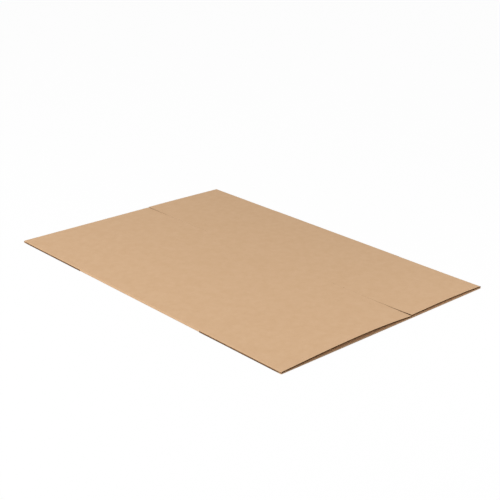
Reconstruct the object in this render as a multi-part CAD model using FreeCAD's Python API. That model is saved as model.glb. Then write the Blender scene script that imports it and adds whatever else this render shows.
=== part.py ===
import FreeCAD, Part
import os
from FreeCAD import Vector

# Flattened slotted carton of single-wall corrugated board, lying knocked down as it leaves the
# box maker. Two layers of board are joined by a rounded fold along each side, and one glued tab
# closes the ring. Every layer carries two flaps at each end, about as deep as the short panel is
# wide.
# X runs across the folds, Y along them, and Z up. The origin is on the surface that the carton
# lies on, at the middle of its outline. The front is the end at -Y, where the flaps lift a little.

# Board
board_thickness = 3.0
layer_gap = 0.2

# Blank, with panel widths measured to the outside of the folds
long_panel = 490.0
short_panel = 310.0
panel_height = 540.0
flap_depth = 305.0

# Slits between the flaps, and how far the upper flaps stand back from the outside of the folds
slit_width = 0.2
slit_run_in = 2.0
side_setback = 0.5

# Glued joint: a crushed tab on the lower long panel lies on the lower short panel, which is cut
# a little wider than the upper one
tab_width = 35.0
tab_thickness = 2.0
tab_taper = 12.0
tab_setback = 6.0
tab_rake = 2.5
joint_allowance = 4.0
joint_gap = 2.0
joint_web = 2.2

# Scores and the flat crease between the two upper panels
score_clearance = 0.2
score_bevel_depth = 0.4
score_bevel_width = 1.5
crease_depth = 0.4
crease_width = 3.0

# Lift of the front flaps' free edges above a flat layer, and the powers of the distance from the
# score with which a flap's lift grows
long_curl_power = 2
short_curl_power = 4
long_lift_peak = 8.5
long_lift_place = 290.0
long_lift_slit_corner = 0.8
short_lift_slit_corner = 3.7
short_lift_peak = 5.2
short_lift_place = 147.0
short_lift_fold_corner = 0.8

# Lift of the rear short flap beside its slit; the rear long flap lies flat
rear_lift_slit_corner = 1.3
rear_lift_peak = 1.5
rear_lift_place = 60.0
curl_stations = 6

half_width = (long_panel + short_panel) / 2
half_height = panel_height / 2
end_edge = half_height + flap_depth
layer_top = 2 * board_thickness + layer_gap
upper_base = board_thickness + layer_gap
fold_outer_radius = layer_top / 2
fold_inner_radius = layer_gap / 2
fold_centre = half_width - fold_outer_radius
crease_x = long_panel - half_width
joint_left = short_panel + joint_allowance - half_width
joint_right = joint_left + joint_gap
lower_slit_x = (joint_left + joint_right) / 2
tab_free_edge = joint_left - tab_width
tab_top = board_thickness + tab_thickness
cutter_reach = layer_top + tab_thickness


def crowned(start, peak, end):
    """Height over x of a sheet that passes through start and end and is level at its peak.

    Each argument is (x, height). The height is the peak's, less the squared distance from the
    peak times a factor that changes evenly along x.
    """
    start_bend = (start[1] - peak[1]) / (start[0] - peak[0]) ** 2
    end_bend = (end[1] - peak[1]) / (end[0] - peak[0]) ** 2

    def height(x):
        along = (x - start[0]) / (end[0] - start[0])
        return peak[1] + (x - peak[0]) ** 2 * (start_bend + (end_bend - start_bend) * along)

    return height


def level(x):
    """Height of a sheet that lies flat on the layer below."""
    return 0.0


panel_rise = crowned((-fold_centre, 0.0),
                     ((tab_free_edge + joint_left) / 2, tab_thickness),
                     (fold_centre, 0.0))


def profile_edge(x_start, x_end, y, base, height):
    """Curve of base plus height(x) between two x, exact for a height of third degree."""
    step = (x_end - x_start) / 3
    seen = [base + height(x_start + i * step) for i in range(4)]
    poles = [seen[0],
             (-5 * seen[0] + 18 * seen[1] - 9 * seen[2] + 2 * seen[3]) / 6,
             (2 * seen[0] - 9 * seen[1] + 18 * seen[2] - 5 * seen[3]) / 6,
             seen[3]]
    curve = Part.BezierCurve()
    curve.setPoles([Vector(x_start + i * step, y, pole) for i, pole in enumerate(poles)])
    return curve.toShape()


def line(x_start, z_start, x_end, z_end, y):
    """Straight edge in the plane across the folds at y."""
    return Part.makeLine(Vector(x_start, y, z_start), Vector(x_end, y, z_end))


def half_round(side, radius, y):
    """Fold's half circle of one radius, from the lower layer to the upper one."""
    centre = side * fold_centre
    middle = layer_top / 2
    arc = Part.Arc(Vector(centre, y, middle - radius),
                   Vector(centre + side * radius, y, middle),
                   Vector(centre, y, middle + radius))
    return arc.toShape()


def sleeve_wire(radius, y):
    """Closed outline of one face of the folded ring, radius measured at its two folds."""
    middle = layer_top / 2
    return Part.Wire(Part.__sortEdges__([
        line(-fold_centre, middle - radius, fold_centre, middle - radius, y),
        half_round(1, radius, y),
        profile_edge(-fold_centre, fold_centre, y, middle + radius, panel_rise),
        half_round(-1, radius, y),
    ]))


def block(x_start, x_end, y_start, y_end, z_start, z_end):
    """Box between two corners."""
    return Part.makeBox(x_end - x_start, y_end - y_start, z_end - z_start,
                        Vector(x_start, y_start, z_start))


def panel_ring():
    """Four panels and two folds: one ring of board, bored flat by the gap between its layers."""
    section = Part.Face([sleeve_wire(fold_outer_radius, -half_height),
                         sleeve_wire(fold_inner_radius, -half_height)])
    return section.extrude(Vector(0, panel_height, 0))


def lower_flaps():
    """Lower flaps at both ends, level with the lower panels and part of the same board."""
    spans = [(-half_width, lower_slit_x - slit_width / 2),
             (lower_slit_x + slit_width / 2, half_width)]
    flaps = []
    for x_start, x_end in spans:
        flaps.append(block(x_start, x_end, -end_edge, -half_height, 0, board_thickness))
        flaps.append(block(x_start, x_end, half_height, end_edge, 0, board_thickness))
    return flaps


def glue_tab():
    """Tab that steps up from the lower long panel and lies on the lower short panel."""
    tab_end = half_height - tab_setback
    corners = [(tab_free_edge, board_thickness),
               (joint_left, board_thickness),
               (joint_right, board_thickness - joint_web),
               (joint_right, board_thickness),
               (joint_right - tab_rake, tab_top),
               (tab_free_edge, tab_top)]
    outline = [Vector(x, -tab_end, z) for x, z in corners]
    tab = Part.Face(Part.makePolygon(outline + outline[:1])).extrude(Vector(0, 2 * tab_end, 0))
    for end in (-1, 1):
        taper = [Vector(tab_free_edge, end * tab_end, 0),
                 Vector(joint_left, end * tab_end, 0),
                 Vector(tab_free_edge, end * (tab_end - tab_taper), 0)]
        wedge = Part.Face(Part.makePolygon(taper + taper[:1])).extrude(Vector(0, 0, cutter_reach))
        tab = tab.cut(wedge)
    return tab


def sleeve_cuts():
    """Joint gap, slits' ends that run past the scores, the scores below and the upper crease."""
    between = board_thickness + layer_gap / 2
    crease_floor = layer_top + panel_rise(crease_x) - crease_depth
    cuts = [block(joint_left, joint_right, -half_height, half_height, -1, between),
            block(crease_x - crease_width / 2, crease_x + crease_width / 2,
                  -half_height, half_height, crease_floor, crease_floor + cutter_reach)]
    for end in (-1, 1):
        y_start = min(end * half_height, end * (half_height - slit_run_in))
        y_end = y_start + slit_run_in
        cuts.append(block(crease_x - slit_width / 2, crease_x + slit_width / 2,
                          y_start, y_end, between, between + cutter_reach))
        cuts.append(block(lower_slit_x - slit_width / 2, lower_slit_x + slit_width / 2,
                          y_start, y_end, -1, between))
        score_y = end * half_height
        cuts.append(block(-half_width, half_width, score_y - crease_width / 2,
                          score_y + crease_width / 2, -1, crease_depth))
    return cuts


def sleeve():
    """Panels, folds, glued joint and lower flaps, which are one continuous board."""
    board = panel_ring().fuse(lower_flaps()).removeSplitter()
    for cut in sleeve_cuts():
        board = board.cut(cut)
    return board.fuse(glue_tab()).removeSplitter()


def flap_section(x_start, x_end, y, height, top_drop):
    """Closed outline of a flap across the folds at y, its top face lowered by top_drop."""
    top = layer_top - top_drop
    return Part.Wire(Part.__sortEdges__([
        profile_edge(x_start, x_end, y, upper_base, height),
        line(x_end, upper_base + height(x_end), x_end, top + height(x_end), y),
        profile_edge(x_start, x_end, y, top, height),
        line(x_start, upper_base + height(x_start), x_start, top + height(x_start), y),
    ]))


def upper_flap(x_start, x_end, end, edge_height, curl_power):
    """Flap from its score to its free edge, with a bevel along the score."""
    score_y = half_height + score_clearance

    def section(y, top_drop):
        share = (y - score_y) / (end_edge - score_y)

        def height(x):
            return (1 - share) * panel_rise(x) + share ** curl_power * edge_height(x)

        return flap_section(x_start, x_end, end * y, height, top_drop)

    sections = [section(score_y, score_bevel_depth), section(score_y + score_bevel_width, 0.0)]
    for i in range(1, curl_stations + 1):
        sections.append(section(score_y + (end_edge - score_y) * i / curl_stations, 0.0))
    return Part.makeLoft(sections, True, True)


long_span = (-half_width + side_setback, crease_x - slit_width / 2)
short_span = (crease_x + slit_width / 2, half_width - side_setback)
front_long_edge = crowned((long_span[0], 0.0),
                          (-half_width + long_lift_place, long_lift_peak),
                          (long_span[1], long_lift_slit_corner))
front_short_edge = crowned((short_span[0], short_lift_slit_corner),
                           (short_span[0] + short_lift_place, short_lift_peak),
                           (short_span[1], short_lift_fold_corner))
rear_short_edge = crowned((short_span[0], rear_lift_slit_corner),
                          (short_span[0] + rear_lift_place, rear_lift_peak),
                          (short_span[1], 0.0))

parts = {
    "sleeve": sleeve(),
    "front_long_flap": upper_flap(*long_span, -1, front_long_edge, long_curl_power),
    "front_short_flap": upper_flap(*short_span, -1, front_short_edge, short_curl_power),
    "rear_long_flap": upper_flap(*long_span, 1, level, long_curl_power),
    "rear_short_flap": upper_flap(*short_span, 1, rear_short_edge, short_curl_power),
}

os.makedirs("parts", exist_ok=True)
for name, shape in parts.items():
    solid = shape.Solids[0] if len(shape.Solids) == 1 else shape
    solid.exportStep("parts/" + name + ".step")
    box = solid.optimalBoundingBox(False)
    print(name, "solids", len(shape.Solids), "valid", shape.isValid(), "volume",
          round(shape.Volume), "lowest", round(box.ZMin, 3), "highest", round(box.ZMax, 3))
print("height of the long flaps' score line", round(layer_top + tab_thickness, 3))
print("height of the short flaps' score line", round(layer_top + panel_rise(short_span[0]), 3))
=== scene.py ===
import math

import bpy
import numpy as np
from mathutils import Matrix, Vector


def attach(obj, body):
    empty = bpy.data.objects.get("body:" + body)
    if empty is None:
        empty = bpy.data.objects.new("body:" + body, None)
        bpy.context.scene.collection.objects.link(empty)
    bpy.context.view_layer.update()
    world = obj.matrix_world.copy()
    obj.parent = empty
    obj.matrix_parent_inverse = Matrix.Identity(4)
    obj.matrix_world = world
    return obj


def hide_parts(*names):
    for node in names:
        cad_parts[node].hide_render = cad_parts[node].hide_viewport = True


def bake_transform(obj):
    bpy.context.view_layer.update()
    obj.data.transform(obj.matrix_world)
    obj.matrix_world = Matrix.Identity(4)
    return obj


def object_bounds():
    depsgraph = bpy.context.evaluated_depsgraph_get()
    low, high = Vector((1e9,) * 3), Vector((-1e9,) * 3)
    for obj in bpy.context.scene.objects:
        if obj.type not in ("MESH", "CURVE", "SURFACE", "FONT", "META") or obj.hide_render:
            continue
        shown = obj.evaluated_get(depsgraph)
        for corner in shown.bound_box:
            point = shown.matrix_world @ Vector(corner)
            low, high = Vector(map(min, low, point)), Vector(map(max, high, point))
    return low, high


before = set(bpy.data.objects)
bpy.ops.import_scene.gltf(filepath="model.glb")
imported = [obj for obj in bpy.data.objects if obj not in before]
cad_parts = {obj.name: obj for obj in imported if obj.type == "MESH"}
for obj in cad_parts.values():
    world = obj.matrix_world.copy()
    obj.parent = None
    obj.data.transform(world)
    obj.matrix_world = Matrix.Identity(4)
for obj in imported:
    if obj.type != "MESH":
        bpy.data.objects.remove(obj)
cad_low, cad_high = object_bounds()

# Viewpoint: a long lens looks down over the carton's front left corner from about 2.7 m away,
# turned a touch clockwise as a hand-held camera is.
camera_from_corner = Vector((-1.6583, -1.6548, 1.2457))
camera_heading = math.radians(43.098)
camera_dip = math.radians(21.553)
camera_roll = math.radians(1.052)
sensor_width = 36.0
focal_length = 78.85

ahead = Vector((math.sin(camera_heading) * math.cos(camera_dip),
                math.cos(camera_heading) * math.cos(camera_dip), -math.sin(camera_dip)))
level_right = Vector((math.cos(camera_heading), -math.sin(camera_heading), 0.0))
level_up = level_right.cross(ahead)
right = math.cos(camera_roll) * level_right + math.sin(camera_roll) * level_up
up = math.cos(camera_roll) * level_up - math.sin(camera_roll) * level_right
camera = bpy.data.objects.new("camera", bpy.data.cameras.new("camera"))
camera.data.sensor_width = sensor_width
camera.data.lens = focal_length
camera.data.clip_start = 0.05
camera.data.clip_end = 60.0
camera_place = Vector((cad_low.x, cad_low.y, 0.0)) + camera_from_corner
camera_turn = Matrix((right, up, -ahead)).transposed().to_4x4()
camera.matrix_world = Matrix.Translation(camera_place) @ camera_turn
bpy.context.scene.collection.objects.link(camera)
bpy.context.scene.camera = camera
bpy.context.scene.view_settings.view_transform = "Standard"

# Studio: a white sweep under an even white surround, with one broad soft lamp high on the left and
# a small one low in front, which reaches under the lifted flaps. The sweep keeps a faint contact
# shadow of the carton.
sky_strength = 0.464
sweep_span = 30.0
sweep_drop = 0.0002
sweep_colour = "#F8F8F8"
sweep_glow = 0.96
lamp_place = Vector((-2.53, 0.45, 3.06))
lamp_span = 2.0
lamp_watts = 100.0
fill_place = Vector((0.48, -1.33, 0.51))
fill_span = 0.6
fill_watts = 3.2


def linear(code):
    """Linear colour of an sRGB hex code: ((c + 0.055) / 1.055) ** 2.4, or c / 12.92 when dark."""
    shares = [int(code[i:i + 2], 16) / 255 for i in (1, 3, 5)]
    return [c / 12.92 if c <= 0.04045 else ((c + 0.055) / 1.055) ** 2.4 for c in shares] + [1.0]


def node(tree, kind, links=(), **settings):
    """Adds one shader node. A setting whose name is a socket sets that socket, and any other
    sets the node's own property. Each link is (socket of this node, node, socket of that node)."""
    made = tree.nodes.new(kind)
    for name, value in settings.items():
        socket = name.replace("_", " ")
        if hasattr(made, name):
            setattr(made, name, value)
        else:
            made.inputs[socket].default_value = value
    for socket, source, output in links:
        tree.links.new(source.outputs[output], made.inputs[socket])
    return made


def seen_directly(tree):
    """One for rays from the eye, mirrors and glass, and nought for light that falls on things."""
    path = node(tree, "ShaderNodeLightPath")
    either = node(tree, "ShaderNodeMath", [(0, path, "Is Camera Ray"), (1, path, "Is Glossy Ray")],
                  operation="MAXIMUM")
    return node(tree, "ShaderNodeMath", [(0, either, 0), (1, path, "Is Transmission Ray")],
                operation="MAXIMUM")


world = bpy.data.worlds.new("white surround")
world.use_nodes = True
sky = world.node_tree
sky.nodes.clear()
sky_seen = seen_directly(sky)
sky_level = node(sky, "ShaderNodeMapRange", [("Value", sky_seen, 0)], To_Min=sky_strength, To_Max=1.0)
sky_light = node(sky, "ShaderNodeBackground", [("Strength", sky_level, 0)], Color=(1, 1, 1, 1))
node(sky, "ShaderNodeOutputWorld", [("Surface", sky_light, 0)])
bpy.context.scene.world = world

sweep_paper = bpy.data.materials.new("white paper sweep")
sweep_paper.use_nodes = True
tree = sweep_paper.node_tree
tree.nodes.clear()
glow_share = node(tree, "ShaderNodeMath", [(0, seen_directly(tree), 0)], operation="MULTIPLY")
glow_share.inputs[1].default_value = sweep_glow
lit = node(tree, "ShaderNodeBsdfDiffuse", Color=linear(sweep_colour))
glow = node(tree, "ShaderNodeEmission", Color=(1, 1, 1, 1), Strength=1.0)
both = node(tree, "ShaderNodeMixShader", [(0, glow_share, 0), (1, lit, 0), (2, glow, 0)])
node(tree, "ShaderNodeOutputMaterial", [("Surface", both, 0)])

half_span = sweep_span / 2
sweep_mesh = bpy.data.meshes.new("sweep")
sweep_mesh.from_pydata([(-half_span, -half_span, -sweep_drop), (half_span, -half_span, -sweep_drop),
                        (half_span, half_span, -sweep_drop), (-half_span, half_span, -sweep_drop)],
                       [], [(0, 1, 2, 3)])
sweep_mesh.materials.append(sweep_paper)
sweep = bpy.data.objects.new("sweep", sweep_mesh)
bpy.context.scene.collection.objects.link(sweep)

for name, place, span, watts in (("soft lamp", lamp_place, lamp_span, lamp_watts),
                                 ("low fill", fill_place, fill_span, fill_watts)):
    lamp = bpy.data.objects.new(name, bpy.data.lights.new(name, "AREA"))
    lamp.data.energy = watts
    lamp.data.size = span
    lamp.location = place
    lamp.rotation_mode = "QUATERNION"
    lamp.rotation_quaternion = (-place).to_track_quat("-Z", "Y")
    bpy.context.scene.collection.objects.link(lamp)

# Sleeve: one strip of single-wall B-flute board, folded flat at its two side scores and closed by
# a glued joint in the lower layer. Its flutes run along the folds. The two liners are brown kraft
# paper glued to a wavy sheet of recycled medium, and scores are pressed into the finished board.
mm = 0.001
board_thickness = 3.0 * mm
liner_thickness = 0.35 * mm
medium_thickness = 0.25 * mm
flute_pitch = 6.4 * mm
flute_samples = 10
layer_gap = 0.2 * mm
long_panel = 490.0 * mm
short_panel = 310.0 * mm
panel_height = 540.0 * mm
joint_allowance = 4.0 * mm
joint_gap = 2.0 * mm
tab_width = 35.0 * mm
tab_thickness = 2.0 * mm
score_dip = 0.12 * mm
score_half_width = 2.0 * mm
slit_width = 0.2 * mm
slit_run_in = 2.0 * mm
fold_samples = 15
top_samples = 61
sharp_rim = math.radians(35)
kraft_colour = "#D2AE89"
kraft_shade = "#CAA47D"
kraft_fleck = "#A57C56"
medium_colour = "#674523"
medium_shade = "#533617"
cut_colour = "#885C32"
cut_shade = "#6D4922"
# Painted highlight: the paler colour mixed into the lower board's cut ends, for the light the floor
# throws on them.
painted_highlight_colour = "#E2C19B"

half_width = (long_panel + short_panel) / 2
half_height = panel_height / 2
layer_top = 2 * board_thickness + layer_gap
fold_radius = layer_top / 2 - board_thickness / 2
fold_centre = half_width - layer_top / 2
crease_x = long_panel - half_width
joint_left = short_panel + joint_allowance - half_width
joint_right = joint_left + joint_gap
tab_middle = joint_left - tab_width / 2
wave_height = board_thickness / 2 - liner_thickness - medium_thickness / 2


def crowned(start, peak, end):
    """Height over x of a sheet through start and end and level at its peak, each (x, height):
    the peak's height, plus the squared distance from it times a factor even in x."""
    start_bend = (start[1] - peak[1]) / (start[0] - peak[0]) ** 2
    end_bend = (end[1] - peak[1]) / (end[0] - peak[0]) ** 2

    def height(x):
        along = (x - start[0]) / (end[0] - start[0])
        return peak[1] + (x - peak[0]) ** 2 * (start_bend + (end_bend - start_bend) * along)

    return height


panel_rise = crowned((-fold_centre, 0.0), (tab_middle, tab_thickness), (fold_centre, 0.0))


def kraft_paper():
    """Brown kraft liner, dry-finished on the paper machine: matt, with long fibres drawn across
    the flutes, a cloudy formation, darker bark flecks and the faint washboard of the flutes, which is
    a
    bump and also painted shade: faint darker and lighter stripes mixed into the colour."""
    made = bpy.data.materials.new("brown kraft liner")
    made.use_nodes = True
    tree = made.node_tree
    tree.nodes.clear()
    place = node(tree, "ShaderNodeTexCoord")
    cloud_size = 22 * mm
    cloud = node(tree, "ShaderNodeTexNoise", [("Vector", place, "Object")],
                 Scale=1 / cloud_size, Detail=3.0, Roughness=0.55)
    fibre_width = 0.9 * mm
    fibre_length = 9 * mm
    drawn = node(tree, "ShaderNodeMapping", [("Vector", place, "Object")],
                 Scale=(1 / fibre_length, 1 / fibre_width, 1 / fibre_width))
    fibres = node(tree, "ShaderNodeTexNoise", [("Vector", drawn, 0)],
                  Scale=1.0, Detail=4.0, Roughness=0.6)
    fleck_size = 2.2 * mm
    flecks = node(tree, "ShaderNodeTexNoise", [("Vector", place, "Object")],
                  Scale=1 / fleck_size, Detail=1.0, Roughness=0.4)
    few = node(tree, "ShaderNodeMapRange", [("Value", flecks, 0)],
               From_Min=0.70, From_Max=0.80, To_Min=0.0, To_Max=0.5)
    across = node(tree, "ShaderNodeSeparateXYZ", [("Vector", place, "Object")])
    phase = node(tree, "ShaderNodeMath", [(0, across, "X")], operation="MULTIPLY")
    phase.inputs[1].default_value = 2 * math.pi / flute_pitch
    ridge = node(tree, "ShaderNodeMath", [(0, phase, 0)], operation="SINE")
    blotch = node(tree, "ShaderNodeMapRange", [("Value", cloud, 0)],
                  From_Min=0.3, From_Max=0.7, To_Min=0.0, To_Max=0.5)
    streak = node(tree, "ShaderNodeMapRange", [("Value", fibres, 0)],
                  From_Min=0.3, From_Max=0.7, To_Min=0.0, To_Max=0.45)
    # The flutes' washboard is a bump and also painted shade: faint stripes across the flutes mixed
    # into the colour.
    washboard_bump_and_painted_shade = node(tree, "ShaderNodeMapRange", [("Value", ridge, 0)],
                     From_Min=-1.0, From_Max=1.0, To_Min=-0.05, To_Max=0.05)
    mottled = node(tree, "ShaderNodeMath", [(0, blotch, 0), (1, streak, 0)], operation="ADD")
    shaded = node(tree, "ShaderNodeMath", [(0, mottled, 0), (1, washboard_bump_and_painted_shade, 0)], operation="ADD")
    paper = node(tree, "ShaderNodeMix", [("Factor", shaded, 0)], data_type="RGBA")
    paper.inputs[6].default_value = linear(kraft_colour)
    paper.inputs[7].default_value = linear(kraft_shade)
    flecked = node(tree, "ShaderNodeMix", [("Factor", few, 0)], data_type="RGBA")
    flecked.inputs[7].default_value = linear(kraft_fleck)
    tree.links.new(paper.outputs[2], flecked.inputs[6])
    grain = node(tree, "ShaderNodeMath", [(0, streak, 0), (1, washboard_bump_and_painted_shade, 0)], operation="ADD")
    relief = node(tree, "ShaderNodeBump", [("Height", grain, 0)], Strength=0.35, Distance=0.12 * mm)
    shader = node(tree, "ShaderNodeBsdfPrincipled",
                  [("Base Color", flecked, 2), ("Normal", relief, 0)],
                  Roughness=0.86, IOR=1.45)
    node(tree, "ShaderNodeOutputMaterial", [("Surface", shader, 0)])
    return made


def raw_paper(name, colour, shade, depth):
    """Paper cut through or never finished: duller and rougher than the liner's face, from colour
    to shade, with short fibres standing proud. depth is how far they stand out. The lower layer's
    raw paper near the two ends carries a painted highlight: it is mixed paler, for the floor's light."""
    made = bpy.data.materials.new(name)
    made.use_nodes = True
    tree = made.node_tree
    tree.nodes.clear()
    place = node(tree, "ShaderNodeTexCoord")
    fuzz_size = 0.8 * mm
    fuzz = node(tree, "ShaderNodeTexNoise", [("Vector", place, "Object")],
                Scale=1 / fuzz_size, Detail=4.0, Roughness=0.65)
    tint = node(tree, "ShaderNodeMapRange", [("Value", fuzz, 0)],
                From_Min=0.3, From_Max=0.7, To_Min=0.0, To_Max=1.0)
    mixed = node(tree, "ShaderNodeMix", [("Factor", tint, 0)], data_type="RGBA")
    mixed.inputs[6].default_value = linear(colour)
    mixed.inputs[7].default_value = linear(shade)
    spot = node(tree, "ShaderNodeSeparateXYZ", [("Vector", place, "Object")])
    along = node(tree, "ShaderNodeMath", [(0, spot, "Y")], operation="ABSOLUTE")
    # Painted highlight: the lower layer's raw paper within the last 25 mm of both ends is mixed
    # towards a paler colour, standing in for light from the floor.
    highlight_start = 550 * mm
    highlight_full = 574 * mm
    near_end = node(tree, "ShaderNodeMapRange", [("Value", along, 0)],
                    From_Min=highlight_start, From_Max=highlight_full, To_Min=0.0, To_Max=1.0)
    low_down = node(tree, "ShaderNodeMapRange", [("Value", spot, "Z")],
                    From_Min=board_thickness, From_Max=board_thickness + layer_gap / 2,
                    To_Min=1.0, To_Max=0.0)
    highlight_share = node(tree, "ShaderNodeMath", [(0, near_end, 0), (1, low_down, 0)],
                    operation="MULTIPLY")
    highlighted = node(tree, "ShaderNodeMix", [("Factor", highlight_share, 0)], data_type="RGBA")
    highlighted.inputs[7].default_value = linear(painted_highlight_colour)
    tree.links.new(mixed.outputs[2], highlighted.inputs[6])
    relief = node(tree, "ShaderNodeBump", [("Height", fuzz, 0)], Strength=0.6, Distance=depth)
    shader = node(tree, "ShaderNodeBsdfPrincipled",
                  [("Base Color", highlighted, 2), ("Normal", relief, 0)],
                  Roughness=0.95, IOR=1.45)
    node(tree, "ShaderNodeOutputMaterial", [("Surface", shader, 0)])
    return made


kraft_liner = kraft_paper()
fluting_medium = raw_paper("recycled fluting medium", medium_colour, medium_shade, 0.1 * mm)
cut_edge = raw_paper("die-cut paper edge", cut_colour, cut_shade, 0.15 * mm)
face_finish, wave_finish, edge_finish = 0, 1, 2


def sheet_quads(columns, rows):
    """Quads of a thin sheet whose face and back are grids of columns by rows points, back after
    face, with a wall all round the rim. Returns the faces' quads and the rim's quads."""
    def at(side, i, j):
        return side * columns * rows + i * rows + j

    i, j = np.meshgrid(np.arange(columns - 1), np.arange(rows - 1), indexing="ij")
    i, j = i.ravel(), j.ravel()
    face = np.stack([at(0, i, j), at(0, i + 1, j), at(0, i + 1, j + 1), at(0, i, j + 1)], 1)
    back = np.stack([at(1, i, j), at(1, i, j + 1), at(1, i + 1, j + 1), at(1, i + 1, j)], 1)
    i, j = np.arange(columns - 1), np.arange(rows - 1)
    last_i, last_j = columns - 1, rows - 1
    rim = np.concatenate([
        np.stack([at(1, i, 0), at(1, i + 1, 0), at(0, i + 1, 0), at(0, i, 0)], 1),
        np.stack([at(0, i, last_j), at(0, i + 1, last_j), at(1, i + 1, last_j), at(1, i, last_j)], 1),
        np.stack([at(0, 0, j), at(0, 0, j + 1), at(1, 0, j + 1), at(1, 0, j)], 1),
        np.stack([at(1, last_i, j), at(1, last_i, j + 1), at(0, last_i, j + 1), at(0, last_i, j)], 1),
    ])
    return np.concatenate([face, back]), rim


def join_sheets(name, sheets):
    """One mesh object of several thin sheets, each (face grid, back grid, face's finish, back's
    finish), with its rims sharp and its faces smooth."""
    points, quads, finishes = [], [], []
    first = 0
    for face, back, face_paper, back_paper in sheets:
        columns, rows = face.shape[:2]
        faces, rim = sheet_quads(columns, rows)
        points += [face.reshape(-1, 3), back.reshape(-1, 3)]
        quads += [faces + first, rim + first]
        finishes += [np.repeat([face_paper, back_paper], len(faces) // 2),
                     np.full(len(rim), edge_finish)]
        first += 2 * columns * rows
    points, quads = np.concatenate(points), np.concatenate(quads)
    mesh = bpy.data.meshes.new(name)
    mesh.vertices.add(len(points))
    mesh.vertices.foreach_set("co", points.astype(np.float32).ravel())
    mesh.loops.add(quads.size)
    mesh.loops.foreach_set("vertex_index", quads.astype(np.int32).ravel())
    mesh.polygons.add(len(quads))
    mesh.polygons.foreach_set("loop_start", np.arange(0, quads.size, 4, dtype=np.int32))
    mesh.polygons.foreach_set("material_index", np.concatenate(finishes).astype(np.int32))
    for paper in (kraft_liner, fluting_medium, cut_edge):
        mesh.materials.append(paper)
    mesh.update(calc_edges=True)
    mesh.validate()
    mesh.set_sharp_from_angle(angle=sharp_rim)
    made = bpy.data.objects.new(name, mesh)
    bpy.context.scene.collection.objects.link(made)
    return made


def corrugated(name, place, start, end, y_rows, columns, presses=(), notch=None):
    """Board from start to end along its path and over y_rows. place(s, y) gives the middle
    surface's point, its tangent along s and its normal, which points to the scored outside.
    The liners lie half the thickness out, at the given columns of s, and the medium at wave
    height times sin(2 pi s / pitch), with its thickness square to the wave. Each press is a
    line along y, (s, depth, half width), and notch is the s where a slit runs into both ends.
    Columns are added across each press, and just outside and inside the slit's two sides."""
    turn = 2 * math.pi / flute_pitch
    steps = int((end - start) / flute_pitch * flute_samples) + 1
    for at, depth, half in presses:
        columns = np.union1d(columns, at + half * np.linspace(-2.5, 2.5, 11))
    if notch is not None:
        slit_sides = np.array([-0.501, -0.499, 0.499, 0.501]) * slit_width
        columns = np.union1d(columns, notch + slit_sides)
    columns = columns[(columns >= start) & (columns <= end)]

    def dent(s, y):
        """How far the outside is pressed in: depth times exp(-(distance / half width) ** 2)."""
        deep = score_dip * np.exp(-((np.abs(y) - half_height) / score_half_width) ** 2)
        for at, depth, half in presses:
            deep = np.maximum(deep, depth * np.exp(-((s - at) / half) ** 2))
        return deep

    def grid(along):
        s, y = np.meshgrid(along, y_rows, indexing="ij")
        if notch is not None:
            y = y - np.sign(y) * np.where(np.abs(s - notch) < slit_width / 2, slit_run_in, 0.0)
        return s, y

    def face(offset, share):
        s, y = grid(columns)
        point, tangent, normal = place(s, y)
        return point + normal * (offset - share * dent(s, y))[..., None]

    def wave(spread):
        s, y = grid(np.linspace(start + medium_thickness, end - medium_thickness, steps))
        point, tangent, normal = place(s, y)
        sunk = dent(s, y) / 2
        height = wave_height - sunk
        lean = (height * turn * np.cos(turn * s))[..., None]
        square = (normal - lean * tangent) / np.sqrt(1 + lean ** 2)
        return point + normal * (height * np.sin(turn * s) - sunk)[..., None] + square * spread

    half_board, half_medium = board_thickness / 2, medium_thickness / 2
    return join_sheets(name, [
        (face(half_board, 1), face(half_board - liner_thickness, 1), face_finish, wave_finish),
        (wave(half_medium), wave(-half_medium), wave_finish, wave_finish),
        (face(liner_thickness - half_board, 0), face(-half_board, 0), wave_finish, face_finish),
    ])


top_x = np.linspace(-fold_centre, fold_centre, top_samples)
turn_angles = np.linspace(0, math.pi, fold_samples)
lower_z = board_thickness / 2
strip_x = np.concatenate([
    [joint_left],
    -fold_centre - fold_radius * np.sin(turn_angles),
    top_x[1:-1],
    fold_centre + fold_radius * np.sin(turn_angles),
    [joint_right]])
strip_z = np.concatenate([
    [lower_z],
    layer_top / 2 - fold_radius * np.cos(turn_angles),
    layer_top - lower_z + panel_rise(top_x[1:-1]),
    layer_top / 2 + fold_radius * np.cos(turn_angles),
    [lower_z]])
strip_s = np.concatenate([[0.0], np.cumsum(np.hypot(np.diff(strip_x), np.diff(strip_z)))])
strip_dx = np.gradient(strip_x, strip_s)
strip_dz = np.gradient(strip_z, strip_s)


def along_strip(s, y):
    """Middle surface of the folded strip: x and z read along its length s, from the joint's left
    edge round the left fold, over the top and round the right fold. The normal is the tangent
    turned a quarter towards the outside."""
    dx, dz = np.interp(s, strip_s, strip_dx), np.interp(s, strip_s, strip_dz)
    size = np.hypot(dx, dz)
    dx, dz, zero = dx / size, dz / size, np.zeros_like(s)
    point = np.stack([np.interp(s, strip_s, strip_x), y, np.interp(s, strip_s, strip_z)], -1)
    return point, np.stack([dx, zero, dz], -1), np.stack([-dz, zero, dx], -1)


score_rows = np.array([0.0, 0.8, 1.6, 2.4, 3.4, 5.0]) * mm
panel_rows = np.concatenate([-half_height + score_rows, [0.0], (half_height - score_rows)[::-1]])
crease_s = np.interp(crease_x, strip_x[1:-1], strip_s[1:-1])
panels = corrugated("panels", along_strip, 0.0, strip_s[-1], panel_rows, strip_s,
                    [(crease_s, score_dip, score_half_width)], crease_s)
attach(panels, "sleeve")
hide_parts("sleeve")

# Glue tab: the long panel's own edge, crushed thin by the folder-gluer and stuck on the inside of
# the short panel. It shows through the gap of the joint and lifts the upper panels by its thickness.
tab_taper = 12.0 * mm
tab_setback = 6.0 * mm
tab_rake = 2.5 * mm
joint_web = 2.2 * mm
tab_columns = 23
tab_row_count = 41

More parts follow.
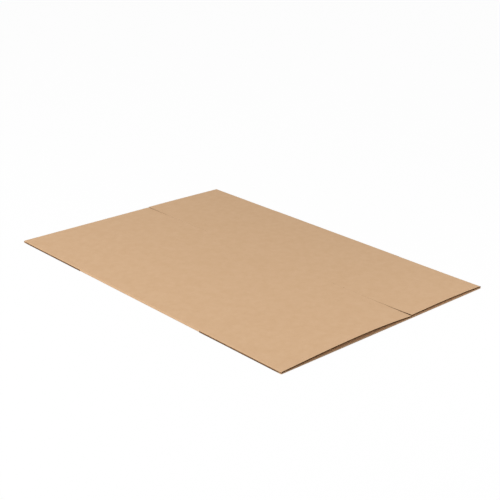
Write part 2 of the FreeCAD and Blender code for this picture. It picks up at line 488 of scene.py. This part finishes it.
tab_left = joint_left - tab_width
tab_x = np.unique(np.concatenate([[tab_left, tab_middle, joint_left, joint_right - tab_rake],
                                  np.linspace(tab_left, joint_right, tab_columns)]))
tab_end = half_height - tab_setback - tab_taper * np.clip((joint_left - tab_x) / tab_width, 0, 1)
tab_rows = np.linspace(-1, 1, tab_row_count)
tab_face_z = np.interp(tab_x, [joint_right - tab_rake, joint_right],
                       [board_thickness + tab_thickness, board_thickness])
tab_back_z = np.interp(tab_x, [joint_left, joint_right],
                       [board_thickness, board_thickness - joint_web])


def tab_grid(z):
    """Points of one side of the tab: across at tab_x, and along y as far as its slanted ends."""
    x, share = np.meshgrid(tab_x, tab_rows, indexing="ij")
    return np.stack([x, tab_end[:, None] * share, np.broadcast_to(z[:, None], x.shape)], -1)


tab_sheet = (tab_grid(tab_face_z), tab_grid(tab_back_z), face_finish, face_finish)
glue_tab = join_sheets("glue_tab", [tab_sheet])
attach(glue_tab, "sleeve")

# Lower flaps: the same board carried on past the lower panels' scores, and slotted apart on the
# line of the joint. They lie flat on what the carton lies on.
flap_depth = 305.0 * mm
lower_side_crush = 0.6 * mm
side_half_width = 2.0 * mm
lower_columns = 5

end_edge = half_height + flap_depth
flap_rows = half_height + np.concatenate([
    np.array([0.0, 0.8, 1.6, 2.4, 3.4, 5.0, 7.0, 9.0, 12.0]) * mm,
    np.linspace(0.1, 1.0, 7) * flap_depth])
lower_slit_x = (joint_left + joint_right) / 2


def along_floor(s, y):
    """Middle surface of a lower flap, seen from below: s runs towards -x and the normal down."""
    zero, one = np.zeros_like(s), np.ones_like(s)
    point = np.stack([-s, y, zero + board_thickness / 2], -1)
    return point, np.stack([-one, zero, zero], -1), np.stack([zero, zero, -one], -1)


def rows_of(end):
    """A flap's y rows in rising order, for the front end at -1 or the rear end at 1."""
    return flap_rows if end > 0 else -flap_rows[::-1]


for end, end_name in ((-1, "front"), (1, "rear")):
    for size_name, start, stop, side in (
            ("long", -half_width, -(lower_slit_x + slit_width / 2), -half_width),
            ("short", -(lower_slit_x - slit_width / 2), half_width, half_width)):
        flap = corrugated(f"lower_{end_name}_{size_name}_flap", along_floor, start, stop,
                          rows_of(end), np.linspace(start, stop, lower_columns),
                          [(side, lower_side_crush, side_half_width)])
        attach(flap, "sleeve")

# Upper flaps: the same board past the upper panels' scores. Each bends up about its score, and at
# the front they have curled a little away from the flaps below, most near the long one's middle.
side_setback = 0.5 * mm
upper_side_crush = 1.5 * mm
long_curl_power = 2
short_curl_power = 4
long_lift_peak = 8.5 * mm
long_lift_place = 290.0 * mm
long_lift_slit_corner = 0.8 * mm
short_lift_slit_corner = 3.7 * mm
short_lift_peak = 5.2 * mm
short_lift_place = 147.0 * mm
short_lift_fold_corner = 0.8 * mm
rear_lift_slit_corner = 1.3 * mm
rear_lift_peak = 1.5 * mm
rear_lift_place = 60.0 * mm
upper_columns = 33

long_span = (-half_width + side_setback, crease_x - slit_width / 2)
short_span = (crease_x + slit_width / 2, half_width - side_setback)


def level(x):
    """Height of an edge that lies flat."""
    return np.zeros_like(x)


def along_flap(edge_height, curl_power):
    """Middle surface of an upper flap: s is x, the panels' rise at the score fades evenly, and
    the lift grows to edge_height(x) at the free edge with a power of the distance."""
    def place(s, y):
        share = (np.abs(y) - half_height) / flap_depth
        zero, one = np.zeros_like(s), np.ones_like(s)
        lift = share ** curl_power * edge_height(s)
        z = layer_top - board_thickness / 2 + (1 - share) * panel_rise(s) + lift
        return (np.stack([s, y, z], -1), np.stack([one, zero, zero], -1),
                np.stack([zero, zero, one], -1))

    return place


front_long_edge = crowned((long_span[0], 0.0), (-half_width + long_lift_place, long_lift_peak),
                          (long_span[1], long_lift_slit_corner))
front_short_edge = crowned((short_span[0], short_lift_slit_corner),
                           (short_span[0] + short_lift_place, short_lift_peak),
                           (short_span[1], short_lift_fold_corner))
rear_short_edge = crowned((short_span[0], rear_lift_slit_corner),
                          (short_span[0] + rear_lift_place, rear_lift_peak), (short_span[1], 0.0))
for name, span, side, end, edge_height, curl_power in (
        ("front_long_flap", long_span, long_span[0], -1, front_long_edge, long_curl_power),
        ("front_short_flap", short_span, short_span[1], -1, front_short_edge, short_curl_power),
        ("rear_long_flap", long_span, long_span[0], 1, level, long_curl_power),
        ("rear_short_flap", short_span, short_span[1], 1, rear_short_edge, short_curl_power)):
    flap = corrugated(name + "_board", along_flap(edge_height, curl_power), *span, rows_of(end),
                      np.linspace(*span, upper_columns), [(side, upper_side_crush, side_half_width)])
    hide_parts(name)
    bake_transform(flap)
